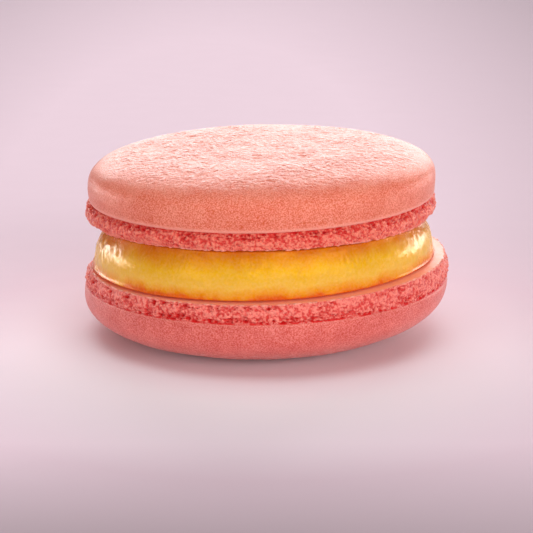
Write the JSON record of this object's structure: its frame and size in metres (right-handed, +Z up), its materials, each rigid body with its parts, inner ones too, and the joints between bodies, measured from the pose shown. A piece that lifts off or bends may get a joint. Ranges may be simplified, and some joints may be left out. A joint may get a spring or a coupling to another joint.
{
  "type": "french macaron",
  "caption": "Round sandwich biscuit: two domed baked shells with a crumbly band under each cap, joined by a thick soft filling that bulges at the side.",
  "frame": {"origin": "on the surface it stands on, under the middle of the macaron's box", "axes": "+Z up from the lower shell to the upper shell; the front faces -Y, and +X is the right side, where the lower shell's flat side shows most"},
  "size_m": [0.046, 0.0462, 0.024],
  "materials": {
    "shell": "matt baked almond meringue, smooth domed cap with fine pores, crumbly band at its edge",
    "filling": "moist soft curd, uneven soft gloss"
  },
  "bodies": {
    "root": {"lower_shell": "shell", "filling": "filling", "upper_shell": "shell"}
  },
  "joints": []
}
